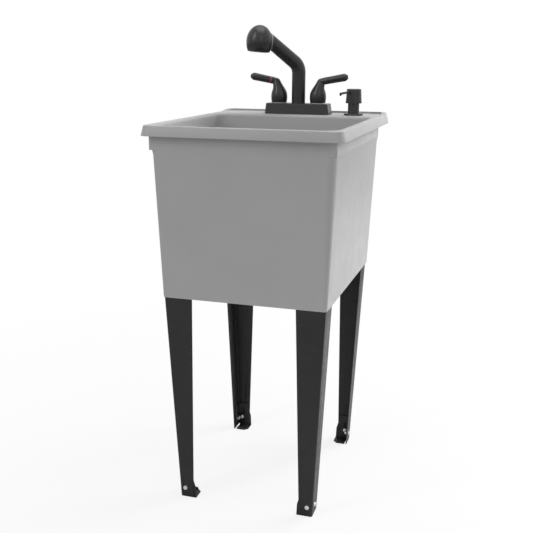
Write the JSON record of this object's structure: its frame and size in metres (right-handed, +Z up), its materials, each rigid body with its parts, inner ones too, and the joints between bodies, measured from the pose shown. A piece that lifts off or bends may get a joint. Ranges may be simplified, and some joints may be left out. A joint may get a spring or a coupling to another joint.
{
  "type": "utility laundry sink",
  "caption": "Free-standing plastic laundry tub on pressed steel legs, with a two-handle pull-out faucet and a soap pump on its rear deck.",
  "frame": {"origin": "on the floor, under the middle of the rim", "axes": "+Z up, +X to the right and -Y to the front of the sink"},
  "size_m": [0.445, 0.572, 1.0959],
  "materials": {
    "tub_plastic": "fine-grained moulded grey plastic, satin",
    "leg_paint": "charcoal powder coat with a fine texture",
    "foot_paint": "charcoal powder coat, slightly worn at the edges",
    "zinc": "bright zinc plate",
    "chrome": "polished stainless steel",
    "black_rubber": "smooth black rubber",
    "white_plastic": "white moulded plastic",
    "light_plastic": "pale grey moulded plastic",
    "grey_plastic": "mid grey moulded plastic",
    "dark_plastic": "dark grey moulded plastic",
    "red_plastic": "red plastic ring",
    "bronze": "dark oil-rubbed bronze finish, satin",
    "brass": "machined brass"
  },
  "bodies": {
    "stand": {"tub": "tub_plastic", "leg_front_left": "leg_paint", "leg_front_right": "leg_paint", "leg_back_left": "leg_paint", "leg_back_right": "leg_paint", "foot_screws": "zinc", "foot_nuts": "zinc", "drain_flange": "chrome", "drain_gasket": "black_rubber", "drain_locknut": "zinc", "tailpiece_washer": "black_rubber", "drain_tailpiece": "white_plastic", "tailpiece_nut": "white_plastic", "base_gasket": "black_rubber", "faucet_base": "bronze", "faucet_body": "brass", "shank_washers": "black_rubber", "shank_nuts": "dark_plastic", "hot_cartridge": "brass", "cold_cartridge": "brass", "hot_glide_ring": "light_plastic", "cold_glide_ring": "light_plastic", "spout_bushing": "light_plastic", "soap_flange": "bronze", "soap_nut": "dark_plastic", "soap_bottle": "white_plastic", "soap_pump_body": "dark_plastic", "dip_tube": "light_plastic"},
    "foot_front_left": {"foot_front_left": "foot_paint"},
    "foot_back_left": {"foot_back_left": "foot_paint"},
    "foot_front_right": {"foot_front_right": "foot_paint"},
    "foot_back_right": {"foot_back_right": "foot_paint"},
    "stopper": {"drain_stopper": "black_rubber"},
    "hot_lever": {"hot_stem": "brass", "hot_handle": "bronze", "hot_ring": "red_plastic", "hot_set_screw": "zinc"},
    "cold_lever": {"cold_stem": "brass", "cold_handle": "bronze", "cold_ring": "dark_plastic", "cold_set_screw": "zinc"},
    "spout_arm": {"spout_o_ring": "black_rubber", "spout": "bronze", "spout_collar": "grey_plastic"},
    "sprayer": {"spray_head": "bronze", "spray_face": "grey_plastic", "hose_connector": "brass", "spray_hose": "dark_plastic"},
    "pump_rod": {"soap_spring": "zinc", "soap_stem": "light_plastic"},
    "pump_cap": {"soap_head": "bronze"}
  },
  "joints": [
    {"name": "foot_front_left_adjust", "type": "slide", "parent": "stand", "child": "foot_front_left", "axis": [0.0485, 0.0301, -0.9984], "range_m": [0, 0.015]},
    {"name": "foot_back_left_adjust", "type": "slide", "parent": "stand", "child": "foot_back_left", "axis": [0.0485, -0.0301, -0.9984], "range_m": [0, 0.015]},
    {"name": "foot_front_right_adjust", "type": "slide", "parent": "stand", "child": "foot_front_right", "axis": [-0.0485, 0.0301, -0.9984], "range_m": [0, 0.015]},
    {"name": "foot_back_right_adjust", "type": "slide", "parent": "stand", "child": "foot_back_right", "axis": [-0.0485, -0.0301, -0.9984], "range_m": [0, 0.015]},
    {"name": "stopper_lift", "type": "slide", "parent": "stand", "child": "stopper", "axis": [0, 0, 1], "range_m": [0, 0.08]},
    {"name": "hot_turn", "type": "hinge", "parent": "stand", "child": "hot_lever", "pos_m": [-0.0508, 0.197, 0.879], "axis": [0, 0, 1], "range_deg": [0, 90]},
    {"name": "cold_turn", "type": "hinge", "parent": "stand", "child": "cold_lever", "pos_m": [0.0508, 0.197, 0.879], "axis": [0, 0, 1], "range_deg": [-90, 0]},
    {"name": "spout_swivel", "type": "hinge", "parent": "stand", "child": "spout_arm", "pos_m": [0, 0.197, 0.879], "axis": [0, 0, 1], "range_deg": [-30, 150]},
    {"name": "spray_pull", "type": "slide", "parent": "spout_arm", "child": "sprayer", "axis": [-0.6768, -0.3908, 0.6239], "range_m": [0, 0.055]},
    {"name": "pump_press", "type": "slide", "parent": "stand", "child": "pump_rod", "axis": [0, 0, -1], "range_m": [0, 0.018], "stiffness_N_per_m": 300, "springref_m": -0.012, "deforming": ["soap_spring"]},
    {"name": "pump_turn", "type": "hinge", "parent": "pump_rod", "child": "pump_cap", "pos_m": [0.144, 0.192, 0.879], "axis": [0, 0, 1], "continuous": true}
  ]
}
